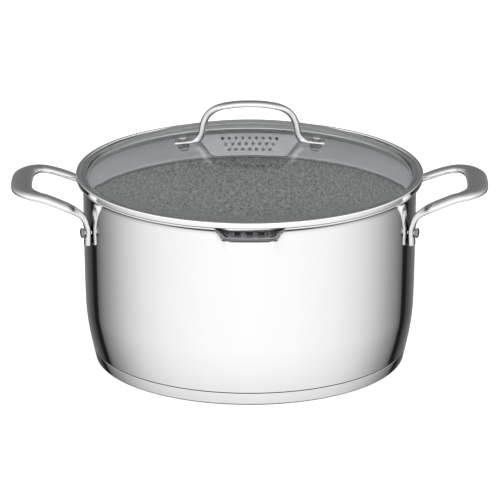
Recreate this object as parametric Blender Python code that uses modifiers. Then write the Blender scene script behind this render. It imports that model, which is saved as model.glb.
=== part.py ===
"""Stewing saucepan, 28 cm, with a domed glass lid that strains.

The pot stands on the XY plane with its axis on +Z. Its two loop handles lie along X,
and its two pouring spouts face -Y (coarse strainer) and +Y (fine strainer).
Everything is in metres.
"""

import math

import bmesh
import bpy
from mathutils import Matrix, Vector

MM = 0.001

# Fits between pieces
GAP = 0.3 * MM  # between faces that touch on the real object
EDGE_GAP = 0.2 * MM  # inside the lid ring's channel
SHANK_PLAY = 0.3 * MM  # radial play of a rivet in its hole
LID_PLAY = 1.5 * MM  # radial play of the strainers inside the pot

# Pot
WALL_R = 141.7 * MM  # outside of the wall, just under the rim
WALL_T = 0.8 * MM
POT_H = 158.9 * MM  # top of the rolled rim
BELLY_Z = 56.0 * MM  # below this the wall curves inwards
BELLY_R = WALL_R - 1.2 * MM
WAIST_R = WALL_R - 7.1 * MM  # outside of the wall where it meets the base
FLARE_H = 6.3 * MM  # height over which the rim turns outwards
FLARE_REACH = 4.5 * MM  # how far the rim turns outwards
BEAD_R = 0.8 * MM  # radius of the rolled edge

# Capsule base: an aluminium disc in a steel cup
BASE_H = 10.9 * MM
BASE_R = WAIST_R - 2.3 * MM
BASE_T = 0.7 * MM
BASE_CORNER = 3.0 * MM
CORE_T = 7.0 * MM

# Pouring spouts
SPOUT_DEPTH = 12.6 * MM  # from the rim down to where the wall starts to bulge
SPOUT_REACH = 8.7 * MM  # how far the lip stands out from the wall
SPOUT_RISE = 6.4 * MM  # height of the lip above the start of the bulge
SPOUT_HALF = 18.0 * MM  # half of the lip's straight width
SPOUT_SIDE = 12.0 * MM  # width of each sloping side
SPOUT_TAPER = 4.0 * MM  # how much narrower each side is at the bottom

# Lid
RING_T = 0.6 * MM
GLASS_T = 3.0 * MM
GLASS_RISE = 26.8 * MM  # height of the dome above its flat rim
GLASS_RIM = 6.2 * MM  # width of the flat rim
DOME_ROUND = 0.55  # 1 for an even dome, less for one flatter on top and rounder at its edge
SEAL_T = 1.3 * MM
LIP_W = 1.6 * MM  # how far the ring's upper lip covers the glass
RING_BEND = 1.0 * MM  # middle radius of the ring's rounded upper corner
RING_OVERHANG = 0.6 * MM  # how far the ring stands out past the pot's rim
SKIRT_H = 4.2 * MM  # how far the ring's skirt reaches into the pot

# Strainers
STRAINER_T = 0.7 * MM
STRAINER_TOP = 48.0 * MM  # half width at the top
STRAINER_FOOT = 33.0 * MM  # half width at the bottom
STRAINER_DROP = 20.8 * MM  # from the skirt's edge to the bottom
STRAINER_LAP = 3.2 * MM  # overlap with the skirt, where it is spot-welded
STRAINER_CORNER = 8.0 * MM
FINE = {"hole_r": 1.5 * MM, "pitch": 6.0 * MM, "rows": (9, 8, 7), "drop": 5.3 * MM, "sides": 10}
COARSE = {"hole_r": 2.5 * MM, "pitch": 9.8 * MM, "rows": (6, 5), "drop": 3.3 * MM, "sides": 14}

# Side handles: a strip, wide and flat at the grip, narrow and thick at the legs
LEG_Y = 46.5 * MM
LEG_FOOT_Z = POT_H - 46.4 * MM
LEG_W = 9.4 * MM
LEG_T = 5.4 * MM
GRIP_W = 18.0 * MM
GRIP_T = 5.2 * MM
GRIP_Z = POT_H - 5.35 * MM
GRIP_OUT = 52.3 * MM  # from the wall's outside to the middle of the grip
LEG_TAPER = 16.0 * MM  # length over which a branch narrows into its leg
SIDE_RIVET_Z = POT_H - 35.5 * MM
SIDE_SHANK_R = 2.5 * MM
SIDE_HEAD_R = 4.4 * MM
SIDE_HEAD_H = 2.9 * MM

# Lid handle: an arched bar with flat feet
FOOT_X = 56.2 * MM  # rivet to the lid's centre
FOOT_REACH = 7.3 * MM  # from the rivet to the foot's end
FOOT_W = 15.0 * MM
FOOT_T = 2.6 * MM
ARCH_RISE = 32.9 * MM  # middle of the bar above the top of the glass
ARCH_W = 14.0 * MM
ARCH_T = 4.4 * MM
BAR_LEG_W = 9.0 * MM
BAR_LEG_T = 6.0 * MM
LID_SHANK_R = 2.6 * MM
LID_HEAD_R = 4.3 * MM
LID_HEAD_H = 2.2 * MM
GASKET_T = 0.9 * MM
GASKET_R = 5.2 * MM
WASHER_T = 1.0 * MM
WASHER_R = 5.0 * MM

# Fineness of the facets
TURN_STEPS = 72
POT_STEPS = 72
POT_CROWDING = 0.5  # share by which the pot's facets crowd towards the spouts
BASE_STEPS = 64
SMALL_STEPS = 12
SECTION_POINTS = 10

STEEL = ((0.78, 0.78, 0.79), 0.12, 1.0)
SATIN = ((0.72, 0.72, 0.73), 0.32, 1.0)
ALUMINIUM = ((0.80, 0.80, 0.81), 0.40, 1.0)
SILICONE = ((0.10, 0.10, 0.10), 0.60, 0.0)
GLASS = ((0.86, 0.89, 0.89), 0.04, 0.0)


# --- general tools ---------------------------------------------------------------


def clear_scene():
    for obj in list(bpy.data.objects):
        bpy.data.objects.remove(obj, do_unlink=True)


def new_collection(name):
    collection = bpy.data.collections.new(name)
    bpy.context.scene.collection.children.link(collection)
    return collection


def material(name, look):
    colour, roughness, metallic = look
    made = bpy.data.materials.new(name)
    made.use_nodes = True
    shader = made.node_tree.nodes["Principled BSDF"]
    shader.inputs["Base Color"].default_value = (*colour, 1.0)
    shader.inputs["Roughness"].default_value = roughness
    shader.inputs["Metallic"].default_value = metallic
    return made


def place(name, mesh, collection, look=None):
    obj = bpy.data.objects.new(name, mesh)
    collection.objects.link(obj)
    if look:
        mesh.materials.append(look)
    return obj


def as_helper(obj):
    obj.hide_render = True
    obj.display_type = "WIRE"
    return obj


def freeze(obj):
    """Replaces the object's data with its evaluated mesh."""
    bpy.context.view_layer.update()
    graph = bpy.context.evaluated_depsgraph_get()
    mesh = bpy.data.meshes.new_from_object(obj.evaluated_get(graph))
    weld = bmesh.new()
    weld.from_mesh(mesh)
    bmesh.ops.remove_doubles(weld, verts=weld.verts, dist=0.001 * MM)
    weld.to_mesh(mesh)
    weld.free()
    looks = list(obj.data.materials)
    if obj.type == "MESH":
        obj.modifiers.clear()
        obj.data = mesh
    else:
        old, name, where = obj, obj.name, obj.matrix_world.copy()
        collection = old.users_collection[0]
        bpy.data.objects.remove(old, do_unlink=True)
        obj = bpy.data.objects.new(name, mesh)
        obj.matrix_world = where
        collection.objects.link(obj)
    obj.data.materials.clear()
    for look in looks:
        obj.data.materials.append(look)
    return obj


def boolean(obj, cutter, operation="DIFFERENCE"):
    modifier = obj.modifiers.new(operation.lower(), "BOOLEAN")
    modifier.operation = operation
    modifier.object = cutter
    modifier.solver = "EXACT"


def turned(name, profile, collection, look=None, steps=TURN_STEPS, loop=False):
    """A profile of (radius, height) points turned about Z. A loop is closed, and runs clockwise."""
    mesh = bpy.data.meshes.new(name)
    edges = [(i, i + 1) for i in range(len(profile) - 1)]
    if loop:
        edges.append((len(profile) - 1, 0))
    mesh.from_pydata([(r, 0.0, z) for r, z in profile], edges, [])
    obj = place(name, mesh, collection, look)
    screw = obj.modifiers.new("turn", "SCREW")
    screw.axis = "Z"
    screw.steps = steps
    screw.render_steps = steps
    screw.use_merge_vertices = True
    screw.merge_threshold = 0.01 * MM
    screw.use_smooth_shade = True
    return obj


def arc(centre, radius, start_deg, end_deg, points):
    """Points on a circle in the (radius, height) plane."""
    turns = [start_deg + (end_deg - start_deg) * i / (points - 1) for i in range(points)]
    return [
        (
            centre[0] + radius * math.cos(math.radians(a)),
            centre[1] + radius * math.sin(math.radians(a)),
        )
        for a in turns
    ]


def offset(line, distance):
    """The polyline moved to its left by the distance, corners kept."""
    moved = []
    for i, (r, z) in enumerate(line):
        before = line[max(i - 1, 0)]
        after = line[min(i + 1, len(line) - 1)]
        first = Vector((r - before[0], z - before[1]))
        second = Vector((after[0] - r, after[1] - z))
        first = first.normalized() if first.length else second.normalized()
        second = second.normalized() if second.length else first
        along = (first + second).normalized()
        left = Vector((-along.y, along.x))
        stretch = distance / max(along.dot(first), 0.5)
        moved.append((r + left.x * stretch, z + left.y * stretch))
    return moved


def thick_line(line, thickness):
    """A closed loop round a polyline, clockwise when the line runs down its outer side."""
    left = offset(line, thickness / 2)
    right = offset(line, -thickness / 2)
    return left + right[::-1]


def smooth_step(x):
    x = min(max(x, 0.0), 1.0)
    return x * x * (3 - 2 * x)


def mix(a, b, share):
    return a + (b - a) * share


def spline(points, per_span):
    """A smooth curve through the points (centripetal Catmull-Rom), with its ends."""
    points = [Vector(p) for p in points]
    first = points[0] * 2 - points[1]
    last = points[-1] * 2 - points[-2]
    chain = [first, *points, last]
    curve = []
    for a, b, c, d in zip(chain, chain[1:], chain[2:], chain[3:]):
        t1 = (b - a).length ** 0.5
        t2 = t1 + (c - b).length ** 0.5
        t3 = t2 + (d - c).length ** 0.5
        for step in range(per_span):
            t = mix(t1, t2, step / per_span)
            ab = a * ((t1 - t) / t1) + b * (t / t1)
            bc = b * ((t2 - t) / (t2 - t1)) + c * ((t - t1) / (t2 - t1))
            cd = c * ((t3 - t) / (t3 - t2)) + d * ((t - t2) / (t3 - t2))
            abc = ab * ((t2 - t) / t2) + bc * (t / t2)
            bcd = bc * ((t3 - t) / (t3 - t1)) + cd * ((t - t1) / (t3 - t1))
            curve.append(abc * ((t2 - t) / (t2 - t1)) + bcd * ((t - t1) / (t2 - t1)))
    curve.append(points[-1])
    return curve


def section(points, power):
    """A superellipse, flatter-sided as the power grows, as (across, through) shares."""
    made = []
    for i in range(points):
        a = 2 * math.pi * (i + 0.5) / points
        c, s = math.cos(a), math.sin(a)
        made.append(
            (
                math.copysign(abs(c) ** (2 / power), c),
                math.copysign(abs(s) ** (2 / power), s),
            )
        )
    return made


def loft(name, stations, collection, look):
    """Skins sections along a path. A station is (centre, across, through, width, thickness)."""
    bm = bmesh.new()
    rings = []
    outline = section(SECTION_POINTS, 3.2)
    for centre, across, through, width, thickness in stations:
        rings.append(
            [
                bm.verts.new(centre + across * (u * width / 2) + through * (v * thickness / 2))
                for u, v in outline
            ]
        )
    count = len(outline)
    for one, two in zip(rings, rings[1:]):
        for i in range(count):
            j = (i + 1) % count
            bm.faces.new((one[i], one[j], two[j], two[i]))
    bm.faces.new(rings[0][::-1])
    bm.faces.new(rings[-1])
    bmesh.ops.recalc_face_normals(bm, faces=bm.faces)
    mesh = bpy.data.meshes.new(name)
    bm.to_mesh(mesh)
    bm.free()
    mesh.shade_smooth()
    return place(name, mesh, collection, look)


def rods(name, places, radius, length, collection, steps=SMALL_STEPS):
    """One cutter made of equal cylinders. A place is a matrix whose Z is the cylinder's axis."""
    bm = bmesh.new()
    half_step = Matrix.Rotation(math.pi / steps, 4, "Z")
    for where in places:
        bmesh.ops.create_cone(
            bm,
            cap_ends=True,
            segments=steps,
            radius1=radius,
            radius2=radius,
            depth=length,
            matrix=where @ half_step,
        )
    mesh = bpy.data.meshes.new(name)
    bm.to_mesh(mesh)
    bm.free()
    return as_helper(place(name, mesh, collection))


def facing(point, direction):
    """A matrix at the point with its Z along the direction."""
    turn = Vector(direction).to_track_quat("Z", "Y").to_matrix().to_4x4()
    return Matrix.Translation(point) @ turn


# --- places that several pieces share ---------------------------------------------

FLOOR_Z = BASE_T + EDGE_GAP + CORE_T + GAP  # underside of the pot's floor
LIP_R = WALL_R + FLARE_REACH + BEAD_R  # outermost edge of the rolled rim
SEAT_Z = POT_H + GAP  # underside of the lid ring
RING_R = LIP_R + RING_OVERHANG
GLASS_Z = SEAT_Z + RING_T + EDGE_GAP  # underside of the glass's flat rim
GLASS_R = RING_R - RING_T - 2 * EDGE_GAP - SEAL_T
RING_H = 2 * RING_T + 2 * EDGE_GAP + GLASS_T
DOME_R = GLASS_R - GLASS_RIM  # where the dome meets the flat rim
STRAINER_R = WALL_R - WALL_T - LID_PLAY  # outside of the strainers
SKIRT_R = STRAINER_R - STRAINER_T - GAP  # outside of the skirt
SKIRT_Z = SEAT_Z - SKIRT_H
LEG_ANGLE = math.asin(LEG_Y / (WALL_R + GAP + LEG_T / 2))


def wall_outside():
    """The wall's outer side from the base up to the flare, as (radius, height) points."""
    lower = []
    for share in (0.0, 0.2, 0.5, 1.0):
        height = mix(BASE_H + 0.9 * MM, BELLY_Z, share)
        radius = mix(WAIST_R, BELLY_R, 1 - (1 - share) ** 1.8)
        lower.append((radius, height))
    return [*lower, (mix(BELLY_R, WALL_R, 0.65), 0.6 * POT_H), (WALL_R, POT_H - SPOUT_DEPTH)]


def wall_radius(height):
    """Outside radius of the wall at a height."""
    line = wall_outside()
    for (r0, z0), (r1, z1) in zip(line, line[1:]):
        if height <= z1:
            return mix(r0, r1, (height - z0) / (z1 - z0))
    return line[-1][0]


def dome_point(x, above_glass):
    """A point on the XZ plane over the glass's upper side, and the dome's normal there."""
    share = (x / DOME_R) ** 2
    fall = GLASS_RISE * (DOME_ROUND * share + (1 - DOME_ROUND) * share**2)
    slope = 2 * GLASS_RISE * x / DOME_R**2 * (DOME_ROUND + 2 * (1 - DOME_ROUND) * share)
    normal = Vector((slope, 0.0, 1.0)).normalized()
    return Vector((x, 0.0, GLASS_Z + GLASS_T + GLASS_RISE - fall)) + normal * above_glass, normal


def side_rivet_frames():
    """For the right-hand handle: a matrix on the wall's outside at each rivet, Z outwards."""
    frames = []
    for side in (-1, 1):
        out = Vector((math.cos(LEG_ANGLE), side * math.sin(LEG_ANGLE), 0.0))
        frames.append(facing(out * wall_radius(SIDE_RIVET_Z) + Vector((0, 0, SIDE_RIVET_Z)), out))
    return frames


def half_turn(matrix):
    return Matrix.Rotation(math.pi, 4, "Z") @ matrix


# --- the pot ------------------------------------------------------------------------


def pot_profile():
    """Closed on the axis: the inner side going up, the rolled rim, the outer side going down."""
    flare_z = POT_H - FLARE_H
    bead = (WALL_R + FLARE_REACH, POT_H - BEAD_R)
    outside = [
        (BASE_R - 9.0 * MM, FLOOR_Z),
        (BASE_R - 2.2 * MM, FLOOR_Z + 1.2 * MM),
        (WAIST_R - 1.4 * MM, BASE_H + 0.1 * MM),
        *wall_outside(),
        (WALL_R + 0.1 * MM, flare_z),
        (WALL_R + 0.9 * MM, flare_z + 2.6 * MM),
        (WALL_R + 2.3 * MM, flare_z + 4.0 * MM),
    ]
    inside = offset([(0.0, FLOOR_Z), *outside], WALL_T)
    inside[0] = (0.0, FLOOR_Z + WALL_T)
    edge = arc(bead, BEAD_R, 160, -130, 6)
    return inside + edge + outside[::-1] + [(0.0, FLOOR_Z)]


def crowd_towards_spouts(mesh):
    """Moves the facets' edges round the axis, closer together at the two spouts."""
    for v in mesh.vertices:
        radius = math.hypot(v.co.x, v.co.y)
        angle = math.atan2(v.co.y, v.co.x)
        angle += POT_CROWDING / 2 * math.sin(2 * angle)
        v.co.x = radius * math.cos(angle)
        v.co.y = radius * math.sin(angle)


def press_spouts(mesh):
    """Pushes the rim out and down into a pouring lip at the front and at the back."""
    start = POT_H - SPOUT_DEPTH
    for v in mesh.vertices:
        if v.co.z <= start:
            continue
        rise = min((v.co.z - start) / SPOUT_DEPTH, 1.0)
        radius = math.hypot(v.co.x, v.co.y)
        across = abs(radius * math.atan2(v.co.x, abs(v.co.y)))
        half = SPOUT_HALF - SPOUT_TAPER * (1 - rise)
        share = 1 - smooth_step((across - half) / SPOUT_SIDE)
        # The wall's own outward turn gives way to a quarter-round trough, level at its bottom
        turned_out = FLARE_REACH * smooth_step((v.co.z - (POT_H - FLARE_H)) / FLARE_H) ** 1.5
        bend = rise * math.pi / 2
        push = share * (SPOUT_REACH * math.sin(bend) - turned_out)
        scale = (radius + push) / radius
        v.co.x *= scale
        v.co.y *= scale
        v.co.z -= share * (rise * SPOUT_DEPTH - SPOUT_RISE * (1 - math.cos(bend)))


def pot_shell(parts, helpers, look):
    pot = turned("pot_shell", pot_profile(), parts, look, steps=POT_STEPS)
    pot = freeze(pot)
    crowd_towards_spouts(pot.data)
    press_spouts(pot.data)
    right = side_rivet_frames()
    cutter = rods(
        "pot_rivet_holes",
        [*right, *map(half_turn, right)],
        SIDE_SHANK_R + SHANK_PLAY,
        12 * WALL_T,
        helpers,
    )
    boolean(pot, cutter)


def base_cup(parts, look):
    top_r = WAIST_R - 0.2 * MM
    foot = arc((BASE_R - BASE_CORNER, BASE_CORNER), BASE_CORNER, 0, -90, 4)
    outside = [(top_r, BASE_H), *foot, (0.0, 0.0)]
    inside = offset(outside, -BASE_T)
    inside[0] = (top_r - BASE_T, BASE_H)
    inside[-1] = (0.0, BASE_T)
    turned("base_cup", inside[::-1] + outside, parts, look, steps=BASE_STEPS)


def base_core(parts, look):
    low = BASE_T + EDGE_GAP
    radius = BASE_R - BASE_T - 2.4 * MM
    bevel = 2.0 * MM
    profile = [
        (0.0, low + CORE_T),
        (radius - 3 * bevel, low + CORE_T),
        (radius, low + CORE_T - bevel / 2),
        (radius, low + bevel),
        (radius - bevel, low),
        (0.0, low),
    ]
    turned("base_core", profile, parts, look, steps=BASE_STEPS // 2)


# --- side handles -------------------------------------------------------------------


def side_handle_line():
    """Middle line of the right-hand handle, from the front leg's foot to the rear leg's."""
    leg_r = WALL_R + GAP + LEG_T / 2
    leg_x = leg_r * math.cos(LEG_ANGLE)
    out = WALL_R + GRIP_OUT
    top = GRIP_Z
    half = [
        (leg_x, -LEG_Y, LEG_FOOT_Z),
        (leg_x, -LEG_Y, top - 25.45 * MM),
        (leg_x + 3.6 * MM, -LEG_Y + 0.2 * MM, top - 16.45 * MM),
        (leg_x + 10.2 * MM, -LEG_Y + 1.3 * MM, top - 11.65 * MM),
        (leg_x + 34.6 * MM, -LEG_Y + 4.9 * MM, top - 2.15 * MM),
        (out - 11.0 * MM, -38.0 * MM, top - 0.3 * MM),
        (out - 2.6 * MM, -26.0 * MM, top),
        (out, 0.0, top),
    ]
    return half + [(x, -y, z) for x, y, z in half[-2::-1]]


def side_handle_stations():
    line = spline(side_handle_line(), 2)
    lengths = [0.0]
    for a, b in zip(line, line[1:]):
        lengths.append(lengths[-1] + (b - a).length)
    total = lengths[-1]
    stations = []
    for i, point in enumerate(line):
        ahead = line[min(i + 1, len(line) - 1)] - line[max(i - 1, 0)]
        from_foot = min(lengths[i], total - lengths[i])
        side = -1 if point.y < 0 else 1
        # At the feet the strip's width runs along the wall, at the grip across its path
        along_wall = Vector((side * math.sin(LEG_ANGLE), -math.cos(LEG_ANGLE), 0)) * side
        level = Vector((ahead.x, ahead.y, 0))
        inward = Vector((-level.y, level.x, 0)).normalized() if level.length > GAP else along_wall
        turn = smooth_step((from_foot - 12 * MM) / (24 * MM))
        across = (along_wall * (1 - turn) + inward * turn).normalized()
        through = across.cross(ahead.normalized()).normalized()
        across = ahead.normalized().cross(through).normalized()
        from_leg = point.x - line[0].x
        width = mix(LEG_W, GRIP_W, smooth_step((from_leg - 2 * MM) / LEG_TAPER))
        thickness = mix(LEG_T, GRIP_T, smooth_step((from_foot - 20 * MM) / (22 * MM)))
        stations.append((point, across, through, width, thickness))
    return stations


def side_handles(parts, helpers, look):
    holes = rods(
        "handle_rivet_holes",
        side_rivet_frames(),
        SIDE_SHANK_R + SHANK_PLAY,
        4 * LEG_T,
        helpers,
    )
    right = loft("handle_right", side_handle_stations(), parts, look)
    boolean(right, holes)
    right = freeze(right)
    left = place("handle_left", right.data, parts)
    left.rotation_euler.z = math.pi


def rivet_profile(shank_r, head_r, head_h, under_head, above_tail, tail_r, tail_h):
    """A domed head above, a shank, and a flat tail head below; heights along the axis."""
    return [
        (0.0, under_head + head_h),
        (0.75 * head_r, under_head + 0.92 * head_h),
        (head_r, under_head + 0.6 * head_h),
        (0.8 * head_r, under_head),
        (shank_r, under_head),
        (shank_r, above_tail),
        (tail_r, above_tail),
        (0.8 * tail_r, above_tail - tail_h),
        (0.0, above_tail - tail_h),
    ]


def side_rivets(parts, look):
    profile = rivet_profile(
        SIDE_SHANK_R,
        SIDE_HEAD_R,
        SIDE_HEAD_H,
        GAP + LEG_T + GAP,
        -WALL_T - 2 * GAP,
        SIDE_HEAD_R,
        1.4 * MM,
    )
    right = side_rivet_frames()
    places = {
        "rivet_right_front": right[0],
        "rivet_right_rear": right[1],
        "rivet_left_rear": half_turn(right[0]),
        "rivet_left_front": half_turn(right[1]),
    }
    for name, where in places.items():
        turned(name, profile, parts, look, steps=SMALL_STEPS).matrix_world = where


# --- the lid --------------------------------------------------------------------------


def lid_ring(parts, look):
    half = RING_T / 2
    top = SEAT_Z + RING_H - half
    low = SEAT_Z + half
    out = RING_R - half
    skirt = SKIRT_R - half
    corner = 0.5 * MM
    line = [
        (GLASS_R - LIP_W + half, top),
        *arc((out - RING_BEND, top - RING_BEND), RING_BEND, 90, 0, 4),
        (out, low + corner),
        (out - corner, low),
        (skirt + 1.1 * MM, low),
        (skirt, low - 1.1 * MM),
        (skirt, SKIRT_Z),
    ]
    turned("lid_ring", thick_line(line, RING_T), parts, look, loop=True)


def glass_seal(parts, look):
    inner = GLASS_R + EDGE_GAP
    outer = inner + SEAL_T
    low = SEAT_Z + RING_T + EDGE_GAP
    high = low + GLASS_T
    bevel = RING_BEND / 2
    profile = [
        (inner, high),
        (outer - bevel, high),
        (outer, high - bevel),
        (outer, low),
        (inner, low),
    ]
    turned("glass_seal", profile, parts, look, loop=True)


def glass_profile():
    """Closed on the axis: the upper side going out and down, the edge, the under side."""
    top = GLASS_Z + GLASS_T
    inner, outer = FOOT_X - 9 * MM, FOOT_X + 9 * MM
    radii = [0.0, inner / 2, inner, outer, mix(outer, DOME_R, 0.35), mix(outer, DOME_R, 0.7)]
    radii.append(0.97 * DOME_R)
    upper = [(p.x, p.z) for p, _ in (dome_point(r, 0.0) for r in radii)]
    under = [(p.x, p.z) for p, _ in (dome_point(r, -GLASS_T) for r in [*radii, DOME_R])]
    (r0, z0), (r1, z1) = under[-2:]
    under.append((r1 + (r1 - r0) * (z1 - GLASS_Z) / (z0 - z1), GLASS_Z))
    under.reverse()
    round_off = 0.8 * MM
    edge = [
        (DOME_R + 1.8 * MM, top),
        (GLASS_R - round_off, top),
        (GLASS_R, top - round_off),
        (GLASS_R, GLASS_Z + round_off),
        (GLASS_R - round_off, GLASS_Z),
    ]
    return upper + edge + under


def foot_frames():
    """A matrix on the glass's upper side at each foot of the lid handle, Z outwards."""
    frames = []
    for side in (-1, 1):
        point, normal = dome_point(side * FOOT_X, 0.0)
        frames.append(facing(point, normal))
    return frames


def lid_glass(parts, helpers, look):
    glass = turned("lid_glass", glass_profile(), parts, look)
    holes = rods(
        "glass_holes", foot_frames(), LID_SHANK_R + 3 * SHANK_PLAY, 4 * GLASS_T, helpers
    )
    boolean(glass, holes)


def strainer_outline():
    """Half of the plate's outline as (across, height), from the top down to the middle."""
    top = SKIRT_Z + STRAINER_LAP
    foot = SKIRT_Z - STRAINER_DROP
    run, fall = STRAINER_TOP - STRAINER_FOOT, SKIRT_Z - foot
    lean = math.degrees(math.atan2(run, fall))  # of the side, from upright
    side_top = STRAINER_TOP + run * (top - SKIRT_Z) / fall
    back = STRAINER_CORNER * math.tan(math.radians((90 - lean) / 2))
    centre = (STRAINER_FOOT - back, foot + STRAINER_CORNER)
    corner = arc(centre, STRAINER_CORNER, -lean, -90, 5)
    return [(side_top, top), *corner]


def strainer(name, spec, side, parts, helpers, look):
    """A curved plate with staggered holes; side is -1 at the front and 1 at the back."""
    top = SKIRT_Z + STRAINER_LAP
    foot = SKIRT_Z - STRAINER_DROP
    inner = STRAINER_R - STRAINER_T
    band = [(inner, top), (STRAINER_R, top), (STRAINER_R, foot), (inner, foot)]
    plate = turned(name, band, parts, look, loop=True)
    half = strainer_outline()
    outline = half + [(-x, z) for x, z in half[::-1]]
    curve = bpy.data.curves.new(name + "_outline", "CURVE")
    curve.dimensions = "2D"
    curve.fill_mode = "BOTH"
    curve.extrude = STRAINER_R / 2
    drawn = curve.splines.new("POLY")
    drawn.points.add(len(outline) - 1)
    for point, (x, z) in zip(drawn.points, outline):
        point.co = (x, z, 0.0, 1.0)
    drawn.use_cyclic_u = True
    block = bpy.data.objects.new(name + "_block", curve)
    helpers.objects.link(block)
    block.matrix_world = facing((0.0, side * STRAINER_R, 0.0), (0, -1, 0))
    block.rotation_euler = (math.pi / 2, 0.0, 0.0)
    block = as_helper(freeze(block))
    boolean(plate, block, "INTERSECT")
    places = []
    for row, count in enumerate(spec["rows"]):
        height = SKIRT_Z - spec["drop"] - row * spec["pitch"] * math.sin(math.pi / 3)
        for i in range(count):
            x = (i - (count - 1) / 2) * spec["pitch"]
            places.append(facing((x, side * STRAINER_R, height), (0, side, 0)))
    cutter = rods(
        name + "_holes", places, spec["hole_r"], 12 * MM, helpers, steps=spec["sides"]
    )
    boolean(plate, cutter)


def lid_handle_line():
    """Middle line of the bar, from the left foot's end to the right foot's end."""
    above = GAP + GASKET_T + EDGE_GAP + FOOT_T / 2
    crown = dome_point(0.0, ARCH_RISE)[0].z
    foot = [dome_point(x, above)[0] for x in (FOOT_X + FOOT_REACH, FOOT_X, FOOT_X - 7.5 * MM)]
    rise = [
        (FOOT_X - 12.2 * MM, 0, foot[2].z + 1.0 * MM),
        (FOOT_X - 15.2 * MM, 0, foot[2].z + 5.4 * MM),
        (FOOT_X - 17.6 * MM, 0, crown - 15.6 * MM),
        (FOOT_X - 21.8 * MM, 0, crown - 8.4 * MM),
        (FOOT_X - 28.8 * MM, 0, crown - 3.7 * MM),
        (FOOT_X - 42.0 * MM, 0, crown - 0.7 * MM),
    ]
    half = [tuple(p) for p in foot] + rise
    left = [(-x, y, z) for x, y, z in half]
    return left + [(0, 0, crown)] + half[::-1]


def lid_handle_stations():
    line = spline(lid_handle_line(), 2)
    across = Vector((0, 1, 0))
    stations = []
    for i, point in enumerate(line):
        ahead = line[min(i + 1, len(line) - 1)] - line[max(i - 1, 0)]
        through = ahead.normalized().cross(across)
        inside = FOOT_X - abs(point.x)
        leave_foot = smooth_step((inside - 6.5 * MM) / (7 * MM))
        reach_arch = smooth_step((inside - 17 * MM) / (20 * MM))
        width = mix(mix(FOOT_W, BAR_LEG_W, leave_foot), ARCH_W, reach_arch)
        thickness = mix(mix(FOOT_T, BAR_LEG_T, leave_foot), ARCH_T, reach_arch)
        stations.append((point, across, through, width, thickness))
    return stations


def lid_handle(parts, helpers, look):
    bar = loft("lid_handle", lid_handle_stations(), parts, look)
    holes = rods("foot_holes", foot_frames(), LID_SHANK_R + SHANK_PLAY, 6 * FOOT_T, helpers)
    boolean(bar, holes)


def disc_with_hole(low, thickness, radius, hole_r):
    high = low + thickness
    return [(hole_r, high), (radius, high), (radius, low), (hole_r, low)]


def lid_fasteners(parts, steel, silicone):
    """At each foot: gasket and bar above the glass; gasket, washer and rivet tail below it."""
    hole_r = LID_SHANK_R + SHANK_PLAY
    under_head = EDGE_GAP + GASKET_T + GAP + FOOT_T + EDGE_GAP
    gasket_low = -GLASS_T - GAP - GASKET_T
    washer_low = gasket_low - EDGE_GAP - WASHER_T
    shapes = {
        "gasket_upper": (disc_with_hole(EDGE_GAP, GASKET_T, GASKET_R, hole_r), silicone),
        "gasket_lower": (disc_with_hole(gasket_low, GASKET_T, GASKET_R, hole_r), silicone),
        "washer": (disc_with_hole(washer_low, WASHER_T, WASHER_R, hole_r), steel),
    }
    rivet = rivet_profile(
        LID_SHANK_R,
        LID_HEAD_R,
        LID_HEAD_H,
        under_head,
        washer_low - EDGE_GAP,
        LID_HEAD_R - 0.3 * MM,
        1.6 * MM,
    )
    for side, where in zip(("left", "right"), foot_frames()):
        for name, (profile, look) in shapes.items():
            made = turned(f"{name}_{side}", profile, parts, look, SMALL_STEPS, loop=True)
            made.matrix_world = where
        made = turned(f"lid_rivet_{side}", rivet, parts, steel, steps=SMALL_STEPS)
        made.matrix_world = where


def main():
    clear_scene()
    parts = new_collection("saucepan_with_glass_lid")
    helpers = new_collection("cutters")
    steel = material("polished_steel", STEEL)
    satin = material("satin_steel", SATIN)
    aluminium = material("aluminium", ALUMINIUM)
    silicone = material("silicone", SILICONE)
    glass = material("glass", GLASS)

    pot_shell(parts, helpers, steel)
    base_cup(parts, steel)
    base_core(parts, aluminium)
    side_handles(parts, helpers, satin)
    side_rivets(parts, steel)

    lid_ring(parts, steel)
    glass_seal(parts, silicone)
    lid_glass(parts, helpers, glass)
    strainer("strainer_coarse", COARSE, -1, parts, helpers, satin)
    strainer("strainer_fine", FINE, 1, parts, helpers, satin)
    lid_handle(parts, helpers, satin)
    lid_fasteners(parts, steel, silicone)


main()
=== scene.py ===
"""Looks of the stewing saucepan with its straining glass lid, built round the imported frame."""

import math

import bmesh
import bpy
from mathutils import Matrix, Vector


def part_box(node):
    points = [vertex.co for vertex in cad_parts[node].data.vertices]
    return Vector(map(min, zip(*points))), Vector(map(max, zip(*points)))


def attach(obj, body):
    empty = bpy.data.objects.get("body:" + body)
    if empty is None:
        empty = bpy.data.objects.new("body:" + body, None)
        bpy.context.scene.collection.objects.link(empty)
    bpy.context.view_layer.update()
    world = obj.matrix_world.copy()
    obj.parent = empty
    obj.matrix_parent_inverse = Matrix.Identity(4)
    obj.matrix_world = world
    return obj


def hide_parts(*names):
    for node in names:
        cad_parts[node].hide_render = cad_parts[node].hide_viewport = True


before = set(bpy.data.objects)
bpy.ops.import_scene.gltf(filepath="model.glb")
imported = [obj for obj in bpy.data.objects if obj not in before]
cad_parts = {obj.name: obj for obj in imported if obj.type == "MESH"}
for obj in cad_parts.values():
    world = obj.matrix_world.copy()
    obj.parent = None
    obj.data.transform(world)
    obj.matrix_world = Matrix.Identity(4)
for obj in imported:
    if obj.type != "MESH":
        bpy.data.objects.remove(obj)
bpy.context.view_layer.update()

MM = 0.001


def low(node):
    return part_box(node)[0]


def high(node):
    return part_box(node)[1]


# --- sizes ------------------------------------------------------------------------
# Places come from the frame. What a box can't give, such as a radius or a wall, is named here.

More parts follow.
